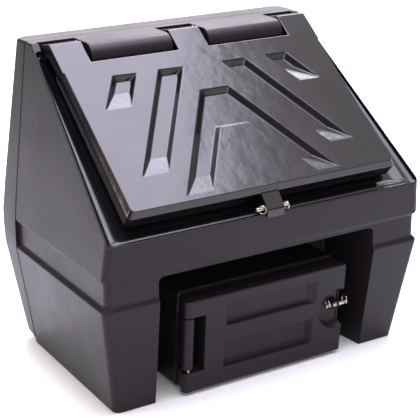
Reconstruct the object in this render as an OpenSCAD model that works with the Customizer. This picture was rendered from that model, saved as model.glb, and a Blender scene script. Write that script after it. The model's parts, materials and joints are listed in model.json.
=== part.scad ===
// Domestic coal bunker, rotationally moulded in black polyethylene.
// A sloping lid on two hinge rods covers the filling opening, and a small hatch on an upright
// rod closes the chute between the front feet. Pins with split rings hold both shut.
// Drawn with X to the right, Y from the front apron to the back and Z up from the ground,
// then moved so that the middle of the footprint is at the origin.

/* [Body] */
// Width across the feet at the ground
foot_w = 928; // [904:2:944]
// Widest width, across the ledge below the band
ledge_w = 1017; // [1008:1:1022]
// Width across the hood's lower edge
hood_w = 1012; // [1004:1:1018]
// Width across the rim at the top of the apron
rim_w = 991; // [982:1:998]
// Width across the flat top
top_w = 884; // [876:1:892]
// Depth from the apron's lower edge to the rear wall at the hood's lower edge
body_d = 684; // [670:1:720]
// Overall height of the flat top
body_h = 912; // [895:1:930]
// Height of the apron's top edge, where the slope starts
rim_h = 497.5; // [485:0.5:510]
// Height of the hood's lower edge
hood_h = 400; // [390:1:410]
// Height of the ledge's outer edge
ledge_h = 318; // [300:1:325]
// How far the band is set in from the hood and the ledge
band_in = 9.5; // [6:0.5:12]
// How far its front is set in
front_in = 5.5; // [4:0.5:9]
// How far the apron leans out towards its top
apron_lean = 10.6; // [6:0.2:12]
// How far the front feet stand back at the ground
foot_back = 52; // [40:1:60]
// How far the flat top's rear edge stands forward of the widest depth
top_back = 38; // [20:1:50]
// How far the rear wall stands forward at its foot
rear_in = 46; // [30:1:60]
// How far the parting of the front and rear mould halves stands forward of the widest depth
rear_half = 112; // [100:1:125]
// Height of the raised rear bottom edge
rear_h = 38; // [30:1:50]
// Slope of the lid and its rim, in degrees
slope = 37.4; // [36.6:0.2:38.2]
// Moulded wall thickness of the body
wall = 5; // [4:0.5:6.5]
// Radius of the upright edges
edge_r = 20; // [14:1:28]

/* [Recess and chute] */
// Half width of the recess between the feet at the apron
recess_w = 346; // [338:1:350]
// Height of the recess under the apron
recess_h = 386; // [376:1:388]
// Depth of the recess from the apron
recess_d = 215; // [190:1:240]
// Draft of the recess walls over its depth
recess_draft = 18; // [10:1:30]
// Width of the chute
chute_w = 508; // [500:2:516]
// Height of the chute's underside above the ground
chute_z = 6; // [4:1:12]
// Height of the chute's upper side above the ground
chute_top = 298; // [292:1:306]
// Width of the flange round the hatch opening
flange = 28; // [20:1:34]

/* [Rim and filling opening] */
// Width of the flat lip round the gutter
lip = 3.5; // [2:0.5:5]
// Depth of the gutter below the rim
gutter = 25; // [18:1:28]
// Half width of the gutter's flat floor
gutter_w = 424; // [421:1:427]
// Half width of the collar's outside
collar_w = 402; // [390:1:405]
// Height of the collar above the rim
collar_h = 13; // [6:1:15]
// Distance from the rim's lower edge to the collar
collar_s = 74; // [70:1:80]
// Distance from the collar's top bar to the notch wall of the lid
collar_gap = 18; // [14:1:24]

/* [Lid] */
// Half width of the lid's top surface
lid_w = 412; // [406:1:414]
// Distance from the rim's lower edge to the lid's top surface
lid_s = 63.6; // [62:0.2:66]
// Length of the lid from its lower edge to the hinge tabs' crease
lid_l = 570; // [566:1:574]
// Length of the lid from its lower edge to the notches
notch_s = 495; // [491:1:499]
// Height of the lid's top surface above the rim
lid_n = 44; // [42:0.5:46]
// How far the bevelled edge spreads outwards
bevel_out = 11; // [8:0.5:12]
// How far it spreads outwards at the notches
side_out = 4; // [2:0.5:6]
// Height of the bevelled edge
bevel_n = 16; // [12:0.5:20]
// Height of the skirt's lower edge above the rim
skirt_n = -10; // [-14:0.5:-4]
// Wall thickness of the lid
lid_wall = 5; // [4:0.5:6]
// Depth of the stiffening recesses
pocket_n = 16; // [12:1:19]
// Draft of the recess walls, measured across
pocket_in = 12; // [8:0.5:15]
// Draft of the middle figure's left wall, measured across; the left bars' is a little less
pocket_left = 20; // [14:0.5:24]
// Length of the ramp at the lower end of each recess
ramp_l = 60; // [45:1:70]
// Half width of the middle hinge tab
mid_tab = 50; // [44:1:54]
// Width of each outer hinge tab
side_tab = 96; // [84:1:100]
// How far the outer tabs stand out beyond the lid's top surface
tab_out = 5; // [3:0.5:7]

/* [Hinge] */
// Diameter of the lid's hinge rods
rod_d = 12; // [10:0.5:13]
// Radius of the barrel at the end of each tab
barrel_r = 20; // [17:0.5:20]
// Distance from the lid's crease to the hinge axis, up the slope
axis_s = 15; // [13:0.5:17]
// Height of the hinge axis above the rim
axis_n = -0.6; // [-2:0.2:1]
// Radius of the half-round hinge knuckles on the body
knuckle_r = 40; // [36:1:42]
// Gap between the lid's notch wall and the knuckle
knuckle_gap = 6; // [5:0.5:9]
// Gap beside a knuckle that holds a split ring
ring_gap = 12; // [10:0.5:14]
// Gap beside a knuckle without a ring
side_gap = 6; // [4:0.5:8]
// Depth at which the slots behind the tabs end
slot_back = 542; // [540:1:548]

/* [Latches] */
// Diameter of both latch pins
pin_d = 12; // [10:0.5:13]
// Half length of the lid's latch pin
lid_pin_l = 50; // [48:1:54]
// How far the lid's latch pin stands to the left
lid_pin_x = 3; // [0:0.5:4]
// Half length of the hatch's latch pin
hatch_pin_l = 37; // [36:1:39]
// How far the hatch's latch pin stands to the right of its ears
hatch_pin_x = 7; // [5:0.5:8]
// Distance from a pin's end to its ring hole
hole_end = 8.5; // [7.5:0.5:9.5]
// Diameter of the ring holes
hole_d = 5; // [4.8:0.1:5.4]
// Mean radius of the split rings
ring_r = 11; // [10:0.5:12]
// Wire diameter of the split rings
wire_d = 2.4; // [2:0.1:2.6]
// Half width of the lid's tongue
tongue_w = 27; // [25:0.5:29]
// Thickness of the tongue's cheeks
cheek = 10; // [8:0.5:12]
// Half width of the body's lug inside the tongue
lug_w = 12; // [10:0.5:14]
// Distance of the lid's latch pin from the rim's lower edge
pin_s = 18; // [16:0.5:20]
// Height of the lid's latch pin above the rim
pin_n = 5; // [4:0.5:7]

/* [Hatch] */
// Distance from the middle to the hatch's free edge
hatch_w = 260; // [254:1:264]
// Height of the hatch
hatch_h = 278; // [272:1:284]
// Height of the hatch's middle above the ground
hatch_mid = 149; // [147:1:153]
// Distance of the hatch's front from the apron at its middle
hatch_y = 26; // [20:1:32]
// Lean of the hatch's face, in degrees
hatch_lean = 5.4; // [4:0.2:5.8]
// Thickness of the hatch
hatch_t = 60; // [56:1:64]
// Gap between the hatch and the chute
seat_gap = 3; // [2:0.5:4]
// Distance of the hatch's hinge axis from the middle
hinge_x = 245; // [242:1:247]
// Radius of the hatch's hinge barrels
hinge_r = 16; // [15.5:0.5:17]
// Diameter of the hatch's hinge rod
hinge_d = 8; // [7:0.5:8.5]
// Width of the notch in the hatch that clears the chute's knuckle
clear_x = 45; // [40:1:50]
// Depth of the hatch's two panels
panel_d = 16; // [10:1:18]
// Radius of the round latch dish
dish_r = 63; // [58:1:66]
// Depth of the round latch dish
dish_d = 24; // [23:0.5:26]
// Distance of the latch from the middle
latch_x = 234; // [232:1:236]
// Height of the latch above the hatch's middle
latch_h = 12; // [6:1:16]
// Depth of the latch pin behind the hatch's face
staple_d = 9.5; // [8.5:0.5:10]
// Half width of the lug that comes through the hatch
staple_w = 5; // [4:0.5:5.5]
// Half width of the way through the hatch for that lug
way_w = 8; // [7.5:0.5:9]
// Thickness of the ears on both sides of it
ear_w = 4; // [3:0.5:5]
// Thickness of the hatch's two skins
hatch_wall = 4; // [3:0.5:5]

/* [Hidden] */

// Running fit of a pin in its bore, on the diameter
fit = 0.1;
// Room round a pin in an open cradle, on the diameter
cradle = 1.2;
// Steps in a rounded corner of a loft
steps = 4;

// Depth at which the mould halves part
parting = body_d - rear_half;

// Where the slope starts, and the place of a point given up the slope and above it
rim_y = -apron_lean;
function up_y(s, n) = rim_y + s * cos(slope) - n * sin(slope);
function up_z(s, n) = rim_h + s * sin(slope) + n * cos(slope);
// The same the other way round
function to_s(y, z) = (y - rim_y) * cos(slope) + (z - rim_h) * sin(slope);

crease_s = lid_s + lid_l;
hinge_s = crease_s + axis_s;
hinge_y = up_y(hinge_s, axis_n);
hinge_z = up_z(hinge_s, axis_n);
notch_wall = lid_s + notch_s;
collar_top = notch_wall - collar_gap;
tab_w = lid_w + tab_out;
tongue_y = rim_y - 7.4;

// The half-round knuckle touches the top face and stays one gap from the lid's notch wall
knuckle_z = body_h - knuckle_r;
knuckle_y = rim_y + (notch_wall + knuckle_gap + knuckle_r - (knuckle_z - rim_h) * sin(slope)) / cos(slope);
knuckle_l = tab_w - side_tab - ring_gap - mid_tab - side_gap;

// The latch pin's place in the world, and the hatch's own frame
latch_y = up_y(pin_s, pin_n);
latch_z = up_z(pin_s, pin_n);
// The hatch leans by a shear, so that its level sections stay true round the upright hinge rod
lean = tan(hatch_lean);
staple_y = hatch_y + staple_d - latch_h * lean;
staple_z = hatch_mid + latch_h;
axis_d = hinge_r;
axis_y = hatch_y + axis_d;
knuckle_top = hatch_mid + 87;
knuckle_low = hatch_mid - 69;
hinge_l = 104;
chute_d = hatch_t + seat_gap;

// A ring's centre stands this far from the middle of its hole, so that the curved wire clears both ends
ring_off = ring_r - (ring_r - sqrt(pow(ring_r, 2) - pow(pin_d / 2, 2))) / 2;
// The latch pins' ring holes point this far from upright, and the rings hang or stand at these angles
lid_turn = -5;
lid_swing = [-48, -90];
hatch_swing = [97, 84];

// The hatch's panels: left and right, then lower and upper edge from its middle, then the draft at the right
panels = [[-134, 166, 40, 106, 28], [-139, 156, -89, -11, 14]];

// The footprint's middle goes to the origin; the right latch ring is its foremost point
front_y = latch_y - ring_off * cos(lid_turn) - ring_r - wire_d / 2;
mid_y = (front_y + body_d) / 2;

// Widths and fronts at a height, along the straight runs of the profile
function low_w(z) = foot_w / 2 + (ledge_w - foot_w) / 2 * z / ledge_h;
function low_y(z) = foot_back * (1 - z / ledge_h);
function hood_half(z) = z < rim_h
    ? hood_w / 2 + (rim_w - hood_w) / 2 * (z - hood_h) / (rim_h - hood_h)
    : rim_w / 2 + (top_w - rim_w) / 2 * (z - rim_h) / (body_h - rim_h);
function rear_y(z) = z < hood_h
    ? body_d - rear_in * (hood_h - z) / hood_h
    : body_d - top_back * (z - hood_h) / (body_h - hood_h);

// A rounded rectangle as points, anticlockwise, with its own radius at the front and at the back
function arc(x, y, r, a) = [for (i = [0:steps]) [x + r * cos(a + 90 * i / steps), y + r * sin(a + 90 * i / steps)]];
function slab(w, y0, y1, r0, r1) = concat(
    arc(w - r0, y0 + r0, r0, -90), arc(w - r1, y1 - r1, r1, 0),
    arc(-w + r1, y1 - r1, r1, 90), arc(-w + r0, y0 + r0, r0, 180));
// A four-sided outline whose half width changes from its lower to its upper edge
function taper(w0, w1, s0, s1, r, r1) = let (w = function (s) w0 + (w1 - w0) * (s - s0) / (s1 - s0)) concat(
    arc(w(s0 + r) - r, s0 + r, r, -90), arc(w(s1 - r1) - r1, s1 - r1, r1, 0),
    arc(-w(s1 - r1) + r1, s1 - r1, r1, 90), arc(-w(s0 + r) + r, s0 + r, r, 180));
// An outline in X and height put at a depth behind the hatch's leaning face, or on an upright plane
function leaned(ring, d) = [for (p = ring) [p[0], hatch_y + d - p[1] * lean, hatch_mid + p[1]]];
function upright(ring, y) = [for (p = ring) [p[0], y, hatch_mid + p[1]]];
function round_ring(x, h, r) = [for (i = [0:47]) [x + r * cos(i * 7.5), h + r * sin(i * 7.5)]];
// The level section of the hinge barrel at a height from the hatch's middle
function barrel(h) = [for (i = [0:31]) [-hinge_x + hinge_r * cos(i * 11.25), axis_y - h * lean + hinge_r * sin(i * 11.25),
    hatch_mid + h]];
function at(ring, z) = [for (p = ring) [p[0], p[1], z]];
function blend(a, b, t) = [for (i = [0:len(a) - 1]) a[i] + (b[i] - a[i]) * t];

// A solid through a stack of rings with equal numbers of points
module loft(rings) {
    m = len(rings[0]);
    k = len(rings) - 1;
    polyhedron(
        points = [for (r = rings) each r],
        faces = concat([[for (i = [0:m - 1]) i]], [[for (i = [m - 1:-1:0]) k * m + i]],
            [for (j = [0:k - 1], i = [0:m - 1]) let (a = j * m + i, b = j * m + (i + 1) % m)
                each [[a, a + m, b + m], [a, b + m, b]]]));
}

// A profile in Y and Z drawn out along X
module along_x(x0, x1) translate([x0, 0, 0]) rotate([90, 0, 90]) linear_extrude(x1 - x0) children();
// A round bar along X
module bar_x(x0, x1, y, z, d) translate([x0, y, z]) rotate([0, 90, 0]) cylinder(d = d, h = x1 - x0, $fn = 48);
// Places what is drawn in the slope's frame, where Y runs up the slope and Z stands off it
module on_slope() translate([0, rim_y, rim_h]) rotate([slope, 0, 0]) children();
// A box that leans with the hatch, given in X, depth behind its face and height from its middle
module lean_box(lo, hi) {
    ring = [[lo[0], lo[2]], [hi[0], lo[2]], [hi[0], hi[2]], [lo[0], hi[2]]];
    loft([leaned(ring, hi[1]), leaned(ring, lo[1])]);
}
// The whole drawing moved to its origin
module placed() translate([0, -mid_y, 0]) children();
// A box given by its corners
module box(lo, hi) translate(lo) cube(hi - lo);

// A split ring of round wire, closed, that passes through a hole along Z at the origin
module split_ring() {
    translate([ring_off, 0, 0]) rotate([90, 0, 0])
        rotate_extrude($fn = 40) translate([ring_r, 0]) circle(d = wire_d, $fn = 16);
}

// The outside of the front mould half, from the ground to the top
module front_skin() {
    band_z = ledge_h + band_in + 2;
    step = band_in - 1.5;
    rows = [
        [0, low_w(0) - 3, low_y(0) + 3], [1, low_w(1) - 1, low_y(1) + 1], [4, low_w(4), low_y(4)],
        [ledge_h - 6, low_w(ledge_h - 6), low_y(ledge_h - 6)], [ledge_h - 1, low_w(ledge_h - 1) - 0.6, low_y(ledge_h - 1) + 0.6],
        [ledge_h + 2, low_w(ledge_h) - 2.4, 1.8], [band_z, low_w(ledge_h) - band_in - 2, front_in + 1],
        [hood_h - 9, hood_w / 2 - band_in, front_in], [hood_h - 5, hood_w / 2 - step, front_in - 1],
        [hood_h - 1.5, hood_w / 2 - 3, 1.8], [hood_h + 2, hood_w / 2 - 0.8, 0.3], [hood_h + 7, hood_half(hood_h + 7), -0.9],
        [rim_h, hood_half(rim_h), rim_y], [body_h - 7, hood_half(body_h - 7), rim_y],
        [body_h - 2.5, hood_half(body_h) - 1.5, rim_y], [body_h - 0.4, hood_half(body_h) - 6, rim_y]];
    loft([for (r = rows) at(slab(r[1], r[2], parting + wall, edge_r, 2), r[0])]);
}

// The outside of the rear mould half, a hair prouder, so that the parting line shows
module rear_skin() {
    proud = 1.2;
    mid = (hood_h + ledge_h) / 2;
    rows = [
        [rear_h / 2, low_w(rear_h / 2) + proud, rear_y(rear_h / 2)],
        [ledge_h - 6, low_w(ledge_h - 6) + proud, rear_y(ledge_h)],
        [mid, (ledge_w + hood_w) / 4 + proud, rear_y(mid) + 1],
        [hood_h + 7, hood_half(hood_h + 7) + proud, rear_y(hood_h)], [rim_h, hood_half(rim_h) + proud, rear_y(rim_h)],
        [body_h - 7, hood_half(body_h - 7) + proud, rear_y(body_h - 7)],
        [body_h - 2, hood_half(body_h) - 0.5, rear_y(body_h) - 2], [body_h, hood_half(body_h) - 5, rear_y(body_h) - 6.5]];
    difference() {
        loft([for (r = rows) at(slab(r[1], parting, r[2], 1, edge_r + 4), r[0])]);
        // The rear bottom edge rises towards the back
        along_x(-ledge_w, ledge_w) polygon([[parting - 20, 0], [parting - 20, rear_h * 0.55],
            [parting + 14, rear_h * 0.55], [body_d, rear_h + 8], [body_d + 20, 0]]);
    }
}

// The room inside, one wall in from both skins
module inside() {
    w = wall;
    low = [
        [w, low_w(0) - w, low_y(0) + w], [ledge_h - 3, low_w(ledge_h) - w, w],
        [ledge_h + band_in - 1, low_w(ledge_h) - band_in - 2 - w, front_in + w + 1],
        [hood_h - 1, hood_w / 2 - band_in - w, front_in + w], [hood_h + 9, hood_half(hood_h) - w, w],
        [rim_h, hood_half(rim_h) - w, rim_y + w], [body_h - w - 0.4, hood_half(body_h) - w - 1, rim_y + w]];
    back = [
        [rear_h + 2 * w, low_w(rear_h) - w, rear_y(rear_h) - w], [ledge_h - 6, low_w(ledge_h) - w, rear_y(ledge_h) - w],
        [hood_h + 7, hood_half(hood_h + 7) - w, rear_y(hood_h) - w], [rim_h, hood_half(rim_h) - w, rear_y(rim_h) - w],
        [body_h - w, hood_half(body_h) - w - 2, rear_y(body_h) - w - 2]];
    difference() {
        union() {
            difference() {
                loft([for (r = low) at(slab(r[1], r[2], parting + 3 * w, edge_r - w, 2), r[0])]);
                box([-ledge_w, parting, -1], [ledge_w, body_d, rear_h + 2 * w + 1]);
            }
            loft([for (r = back) at(slab(r[1], parting + w, r[2], 1, edge_r), r[0])]);
        }
        on_slope() box([-ledge_w, -200, -w], [ledge_w, 1200, 900]);
        recess(wall);
        on_slope() gutter_room(wall);
        tab_slots(wall);
    }
}

// The recess between the front feet, which narrows towards its back wall
module recess(grow) {
    ring = function (y, x, h) [for (p = slab(x + grow, -400, h + grow, 1, 16)) [p[0], p[1], -y]];
    rotate([90, 0, 0]) loft([
        ring(recess_d + grow, recess_w - recess_draft, recess_h - 20),
        ring(-60, recess_w + recess_draft * 60 / recess_d, recess_h + 3)]);
}

// The gutter round the lid: a quarter-round cove from the rim down to a flat floor
module gutter_room(grow) {
    low = to_s(slot_back, body_h) - 40;
    edge = function (s) hood_half(up_z(s, 0)) - lip + grow;
    rim = taper(edge(lip), edge(low), lip - grow, low + grow, 10, 10);
    floor_ring = taper(gutter_w + grow, gutter_w + grow, lid_s - 22 - grow, low - 24 + grow, 14, 14);
    turns = [0, 20, 40, 60, 80, 90];
    rings = [for (a = turns) at(blend(rim, floor_ring, 1 - cos(a)), -sin(a) * gutter - grow)];
    loft([for (i = [len(rings) - 1:-1:0]) rings[i], at(rim, 20)]);
}

// The slots in the hood that the lid's tabs dip into
module tab_slots(grow) {
    d = barrel_r + 6;
    s0 = hinge_s - barrel_r - 8 - grow;
    n0 = -d - grow;
    y1 = slot_back + grow;
    s1 = (y1 - rim_y + n0 * sin(slope)) / cos(slope);
    outline = [[up_y(s0, 30), up_z(s0, 30)], [up_y(s0, n0), up_z(s0, n0)], [y1, up_z(s1, n0)], [y1, body_h + 20 - grow]];
    spans = [[-tab_w - 3, -tab_w + side_tab + ring_gap], [-mid_tab - side_gap, mid_tab + ring_gap],
        [tab_w - side_tab - side_gap, tab_w + 3]];
    for (x = spans) along_x(x[0] - grow, x[1] + grow) polygon(outline);
}

// The profile of a hinge knuckle, half round at the front and flat on top
module knuckle_profile(in) {
    translate([knuckle_y, knuckle_z]) circle(r = knuckle_r - in, $fn = 64);
    d = -gutter - wall - (in > 0 ? 30 : -2);
    polygon([[knuckle_y, body_h - in], [slot_back + 4, body_h - in], [slot_back + 4, knuckle_z - 20],
        [up_y(hinge_s - 20, d), up_z(hinge_s - 20, d)], [up_y(notch_wall + 12, d), up_z(notch_wall + 12, d)],
        [knuckle_y - knuckle_r + in, knuckle_z]]);
}

module knuckles(in) {
    side = in > 0 ? 14 : 0;
    for (x = [-tab_w + side_tab + ring_gap, mid_tab + ring_gap])
        along_x(x + side, x + knuckle_l - side) knuckle_profile(in);
}

// The raised collar round the filling opening, on the gutter's floor
module collar() {
    on_slope() difference() {
        box([-collar_w, collar_s, -gutter - wall / 2], [collar_w, collar_top, collar_h]);
        filling();
    }
}

// The filling opening inside the collar
module filling() box([-collar_w + wall, collar_s + wall, -80], [collar_w - wall, collar_top - wall, 60]);

// The lug under the lid's tongue, open above so that the pin can lift out
module lid_lug() {
    on_slope() difference() {
        box([-lug_w, pin_s - 12, -gutter + 2], [lug_w, pin_s + 12, pin_n + 6]);
        bar_x(-lug_w - 1, lug_w + 1, pin_s, pin_n, pin_d + cradle);
        box([-lug_w - 1, pin_s - (pin_d + cradle) / 2, pin_n], [lug_w + 1, pin_s + (pin_d + cradle) / 2, pin_n + 20]);
    }
}

// The chute box, the flange round its opening, its hinge knuckle and its latch staple
module chute_solid() {
    low = chute_z - hatch_mid;
    top = chute_top - hatch_mid;
    w = chute_w / 2;
    loft([upright(slab(w, low, top, 10, 10), recess_d + 2), leaned(slab(w, low, top, 10, 10), chute_d + 3),
        leaned(slab(w - 3, low + 3, top - 3, 8, 8), chute_d)]);
    // The knuckle, joined to the flange by a web
    intersection() {
        union() {
            loft([barrel(-hatch_h / 2), barrel(hatch_h / 2)]);
            lean_box([-hinge_x - 7, axis_d, -hatch_h / 2], [-hinge_x + 12, chute_d + 2, hatch_h / 2]);
        }
        box([-chute_w, 0, knuckle_low], [0, recess_d, knuckle_top]);
    }
    // The staple, open in front so that the pin can swing out with the hatch
    difference() {
        box([latch_x - staple_w, staple_y - 7, staple_z - 14], [latch_x + staple_w, hatch_y + chute_d + 3, staple_z + 14]);
        bar_x(latch_x - staple_w - 1, latch_x + staple_w + 1, staple_y, staple_z, pin_d + cradle);
        box([latch_x - staple_w - 1, 0, staple_z - (pin_d + cradle) / 2],
            [latch_x + staple_w + 1, staple_y, staple_z + (pin_d + cradle) / 2]);
    }
}

// The room inside the chute and its opening
module chute_room() {
    low = chute_z - hatch_mid;
    top = chute_top - hatch_mid;
    w = chute_w / 2;
    rect = function (in) [[-w + in, low + in], [w - in, low + in], [w - in, top - in], [-w + in, top - in]];
    loft([upright(rect(wall), recess_d + 3 * wall), leaned(rect(wall), chute_d + wall)]);
    loft([leaned(rect(flange), chute_d + 2 * wall), leaned(rect(flange), chute_d - 5)]);
}

module bunker_body() color([0.12, 0.11, 0.13]) placed() difference() {
    union() {
        difference() {
            union() {
                difference() {
                    union() {
                        front_skin();
                        rear_skin();
                    }
                    on_slope() box([-ledge_w, -300, 0], [ledge_w, 1500, 1200]);
                    on_slope() gutter_room(0);
                    recess(0);
                }
                collar();
                knuckles(0);
            }
            tab_slots(0);
            inside();
            knuckles(wall);
            on_slope() filling();
        }
        difference() {
            chute_solid();
            chute_room();
        }
        lid_lug();
    }
    intersection() {
        chute_room();
        box([-chute_w, recess_d - wall, 0], [chute_w, recess_d + 3 * wall, rim_h]);
    }
    for (x = [-tab_w + side_tab + ring_gap, mid_tab + ring_gap])
        bar_x(x - 1, x + knuckle_l + 1, hinge_y, hinge_z, rod_d + fit);
    hatch_bore();
}

// One stiffening recess: four corners at the surface, the left wall's draft, and a floor that ramps up
module pocket(top, grow, ramp, left) {
    t = lid_n + 1;
    f = lid_n - pocket_n - grow;
    // The corners run lower left, lower right, upper right, upper left
    s0 = top[0][1] + ramp;
    s1 = top[3][1] - pocket_in;
    x = function (a, b, s) a[0] + (b[0] - a[0]) * (s - a[1]) / (b[1] - a[1]);
    in = pocket_in - grow;
    out = left - grow;
    floor_ring = [[x(top[0], top[3], s0) + out, s0], [x(top[1], top[2], s0) - in, s0],
        [x(top[1], top[2], s1) - in, s1 + grow], [x(top[0], top[3], s1) + out, s1 + grow]];
    open_ring = [[top[0][0] - grow, top[0][1] - grow], [top[1][0] + grow, top[1][1] - grow],
        [top[2][0] + grow, top[2][1] + grow], [top[3][0] - grow, top[3][1] + grow]];
    translate([0, lid_s, 0]) loft([at(floor_ring, f), at(open_ring, lid_n - grow * 0.4), at(open_ring, t)]);
}

// The chevron pattern: two short and two long bars, and the middle figure of two legs and a crown.
// The left half spreads a little wider than the right one, as the photo shows.
module pockets(grow) {
    outer = function (s) 241 - 0.589 * s;
    inner = function (s) 173.4 - 0.618 * s;
    left_outer = function (s) -255 + 0.595 * s;
    left_inner = function (s) -178 + 0.604 * s;
    pocket([[272, 322], [340, 322], [277, 433], [209, 433]], grow, ramp_l, pocket_in);
    pocket([[253, 97], [329, 97], [138, 432], [62, 432]], grow, ramp_l, pocket_in);
    pocket([[inner(14), 14], [outer(14), 14], [outer(250), 250], [inner(250), 250]], grow, ramp_l, pocket_in);
    pocket([[-348, 324], [-273, 322], [-209, 433], [-281, 435]], grow, ramp_l, pocket_left - 5);
    pocket([[-338, 98], [-261, 98], [-63, 432], [-141, 434]], grow, ramp_l, pocket_left - 5);
    pocket([[left_outer(16), 16], [left_inner(16), 16], [left_inner(250), 250], [left_outer(250), 250]], grow,
        ramp_l, pocket_left);
    pocket([[left_outer(211), 211], [outer(211), 211], [outer(343), 343], [left_outer(343), 343]], grow,
        pocket_in, pocket_left);
}

// The lid's plate with its bevelled edge, or the room under it
module plate(in) {
    // Height, share of the bevel and an extra step outwards
    rows = in > 0
        ? [[-30, 1, -2 - in], [lid_n - bevel_n - in * 0.4, 1, -in], [lid_n - in, 0, -in * 0.6]]
        : [[skirt_n, 1, -2], [lid_n - bevel_n - 2, 1, 0], [lid_n - bevel_n, 1, -0.6], [lid_n - 2, 0, 0.8], [lid_n, 0, -1]];
    loft([for (r = rows) at(taper(lid_w + r[1] * bevel_out + r[2], lid_w + r[1] * side_out + r[2],
        lid_s - r[1] * bevel_out - r[2], notch_wall - in, 12 - in, 3), r[0])]);
}

// The side view of a hinge tab: the lid's thickness, the falling strip and the barrel
function tangent(p, c, r) = let (d = p - c, a = atan2(d[1], d[0]) - acos(r / norm(d))) c + r * [cos(a), sin(a)];

module tab_profile() {
    c = [hinge_s, axis_n];
    p = [crease_s, lid_n];
    translate(c) circle(r = barrel_r, $fn = 48);
    polygon([[notch_wall - 28, 8], [notch_wall - 28, lid_n], p, tangent(p, c, barrel_r), c, [hinge_s - barrel_r, axis_n],
        [hinge_s - barrel_r - 10, 8]]);
}

module tab_hollow() {
    difference() {
        polygon([[notch_wall - 34, -10], [notch_wall - 34, lid_n - lid_wall], [crease_s - 3, lid_n - lid_wall],
            [hinge_s - 4, barrel_r], [hinge_s - barrel_r - 14, -10]]);
        translate([hinge_s, axis_n]) circle(r = barrel_r, $fn = 48);
    }
}

module tabs(in) {
    for (x = [[-tab_w, -tab_w + side_tab], [-mid_tab, mid_tab], [tab_w - side_tab, tab_w]])
        along_x(x[0] + in, x[1] - in) {
            if (in > 0) tab_hollow();
            else tab_profile();
        }
}

// The latch tongue, bent down over the gutter, with a slot for the body's lug
module tongue() {
    end_s = to_s(tongue_y, rim_h);
    difference() {
        along_x(-tongue_w, tongue_w) polygon([[lid_s - 4, lid_n - 6], [lid_s - bevel_out, lid_n - bevel_n],
            [end_s + 9.3, pin_n + 11.8], [end_s - 2.4, -3.7], [end_s + 1.6, -6.6], [end_s + 4.4, 3.5], [pin_s - 11, 3.5],
            [pin_s - 10, pin_n - 8], [pin_s - 6, pin_n - 11], [pin_s + 6, pin_n - 11], [pin_s + 10, pin_n - 8],
            [pin_s + 12, 3.5], [lid_s - bevel_out + 4, 3.5]]);
        along_x(-tongue_w + cheek, tongue_w - cheek) polygon([[end_s - 3.1, -13], [pin_s - 11.6, pin_n + 7.3],
            [lid_s - bevel_out - 2.6, pin_n + 17.2], [lid_s - bevel_out - 2.6, -13]]);
    }
}

module lid() color([0.16, 0.15, 0.17]) placed() on_slope() difference() {
    union() {
        plate(0);
        tabs(0);
        tongue();
    }
    difference() {
        union() {
            plate(lid_wall);
            tabs(lid_wall);
        }
        pockets(lid_wall);
    }
    pockets(0);
    // The outer tabs are closed at their outer ends
    bar_x(-tab_w + 3, tab_w - 3, hinge_s, axis_n, rod_d + fit);
    bar_x(-tongue_w - 1, tongue_w + 1, pin_s, pin_n, pin_d + fit);
}

// A rod along X with a small chamfer at both ends
module rod(x0, x1, d) {
    c = 1;
    translate([x0, 0, 0]) rotate([0, 90, 0]) rotate_extrude($fn = 48)
        polygon([[0, 0], [d / 2 - c, 0], [d / 2, c], [d / 2, x1 - x0 - c], [d / 2 - c, x1 - x0], [0, x1 - x0]]);
}

// The lid's two hinge rods, each through a knuckle and the tabs on both sides of it
left_rod = [-tab_w + 4, -4];
right_rod = [4, tab_w - 4];
left_ring = -tab_w + side_tab + ring_gap / 2;
right_ring = mid_tab + ring_gap / 2;
ring_turn = 52;

module hinge_rod(ends, ring_x) placed() translate([0, hinge_y, hinge_z]) difference() {
    rod(ends[0], ends[1], rod_d);
    translate([ring_x, 0, 0]) rotate([ring_turn, 0, 0]) translate([0, 0, -rod_d])
        cylinder(d = hole_d, h = 2 * rod_d, $fn = 24);
}

module hinge_ring(ring_x) placed() translate([ring_x, hinge_y, hinge_z]) rotate([ring_turn, 0, 0])
    rotate([0, 0, 90]) split_ring();

module lid_hinge_pin_left() color([0.75, 0.74, 0.7]) hinge_rod(left_rod, left_ring);
module lid_hinge_pin_right() color([0.75, 0.74, 0.7]) hinge_rod(right_rod, right_ring);
module lid_hinge_ring_left() color([0.8, 0.8, 0.8]) hinge_ring(left_ring);
module lid_hinge_ring_right() color([0.8, 0.8, 0.8]) hinge_ring(right_ring);

// A latch pin with an upright ring hole near each end
module latch_pin(half, turn) difference() {
    rod(-half, half, pin_d);
    for (x = [-half + hole_end, half - hole_end]) translate([x, 0, 0]) rotate([turn, 0, 0])
        translate([0, 0, -pin_d]) cylinder(d = hole_d, h = 2 * pin_d, $fn = 24);
}

// A ring in a hole at x, swung by an angle about the hole
module latch_ring(x, turn, swing) translate([x, 0, 0]) rotate([turn, 0, 0]) rotate([0, 0, swing]) split_ring();

lid_hole = lid_pin_l - hole_end;
hatch_hole = hatch_pin_l - hole_end;
hatch_turn = 90;

// Places a latch's parts at the middle of their pin
module at_lid_latch() placed() translate([-lid_pin_x, latch_y, latch_z]) children();
module at_hatch_latch() placed() translate([latch_x + hatch_pin_x, staple_y, staple_z]) children();

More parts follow.
